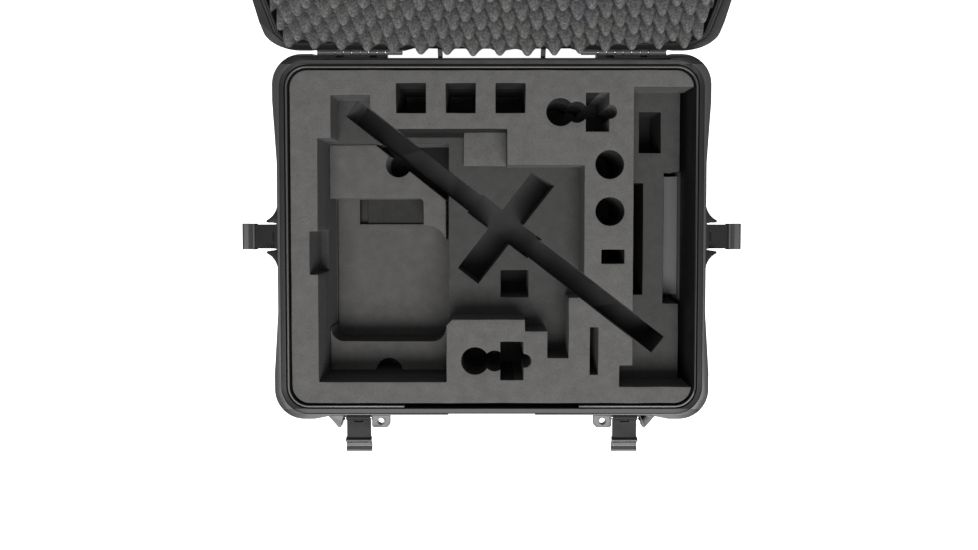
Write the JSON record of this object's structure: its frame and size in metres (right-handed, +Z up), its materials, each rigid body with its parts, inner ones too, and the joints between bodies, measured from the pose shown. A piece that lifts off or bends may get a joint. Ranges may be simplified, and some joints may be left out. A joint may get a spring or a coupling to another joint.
{
  "type": "drone carrying case",
  "caption": "Hinged hard carrying case with latches, a folding handle, cut foam in the base and egg-crate foam in the lid.",
  "frame": {"origin": "middle of the moulded pad under the base, on the floor", "axes": "+X along the hinge to the right seen from the front, +Y towards the hinge, +Z up"},
  "size_m": [0.659, 0.7676, 0.6058],
  "materials": {
    "shell": "fine moulded texture, dark grey",
    "latch_plastic": "satin moulded, dark grey",
    "base_foam": "closed-cell foam with a fine grain, mid grey",
    "pocket_foam": "closed-cell foam with a fine grain, mid grey",
    "lid_foam": "open-cell egg-crate foam, grey",
    "seal_rubber": "matt black rubber",
    "grip_rubber": "matt black rubber, ribbed",
    "foot_rubber": "matt black rubber",
    "pin_steel": "bright drawn steel"
  },
  "bodies": {
    "base": {"base_shell": "shell", "foam_top_layer": "base_foam", "foam_middle_layer": "base_foam", "foam_step_pad": "base_foam", "foam_rear_block": "pocket_foam", "foam_front_block": "pocket_foam", "foam_bottom_pad": "pocket_foam", "hinge_pin_left": "pin_steel", "hinge_pin_right": "pin_steel", "latch_pin_front_left": "pin_steel", "latch_pin_front_right": "pin_steel", "latch_pin_side_left": "pin_steel", "latch_pin_side_right": "pin_steel", "handle_pin_left": "pin_steel", "handle_pin_right": "pin_steel", "purge_valve_body": "latch_plastic", "purge_valve_seal": "seal_rubber", "foot_front_left": "foot_rubber", "foot_front_right": "foot_rubber", "foot_rear_left": "foot_rubber", "foot_rear_right": "foot_rubber"},
    "lid": {"lid_shell": "shell", "lid_seal": "seal_rubber", "lid_foam": "lid_foam"},
    "handle": {"handle_frame": "latch_plastic", "handle_grip": "grip_rubber"},
    "valve_knob": {"purge_valve_knob": "latch_plastic"},
    "latch_front_left": {"latch_front_left": "latch_plastic"},
    "latch_front_right": {"latch_front_right": "latch_plastic"},
    "latch_side_left": {"latch_side_left": "latch_plastic"},
    "latch_side_right": {"latch_side_right": "latch_plastic"}
  },
  "joints": [
    {"name": "lid_hinge", "type": "hinge", "parent": "base", "child": "lid", "pos_m": [0, 0.2393, 0.1603], "axis": [1, 0, 0], "range_deg": [0, 114]},
    {"name": "latch_front_left_hinge", "type": "hinge", "parent": "base", "child": "latch_front_left", "pos_m": [-0.1764, -0.2377, 0.147], "axis": [-1, 0, 0], "range_deg": [-60, 90]},
    {"name": "latch_front_right_hinge", "type": "hinge", "parent": "base", "child": "latch_front_right", "pos_m": [0.1764, -0.2377, 0.147], "axis": [-1, 0, 0], "range_deg": [-60, 90]},
    {"name": "latch_side_right_hinge", "type": "hinge", "parent": "base", "child": "latch_side_right", "pos_m": [0.2813, 0.0015, 0.147], "axis": [0, -1, 0], "range_deg": [-60, 90]},
    {"name": "latch_side_left_hinge", "type": "hinge", "parent": "base", "child": "latch_side_left", "pos_m": [-0.2813, 0.0015, 0.147], "axis": [0, 1, 0], "range_deg": [-60, 90]},
    {"name": "handle_swing", "type": "hinge", "parent": "base", "child": "handle", "pos_m": [0, -0.2325, 0.122], "axis": [-1, 0, 0], "range_deg": [0, 95]},
    {"name": "valve_turn", "type": "hinge", "parent": "base", "child": "valve_knob", "pos_m": [-0.118, -0.23, 0.096], "axis": [0, -1, 0], "range_deg": [0, 270]}
  ]
}
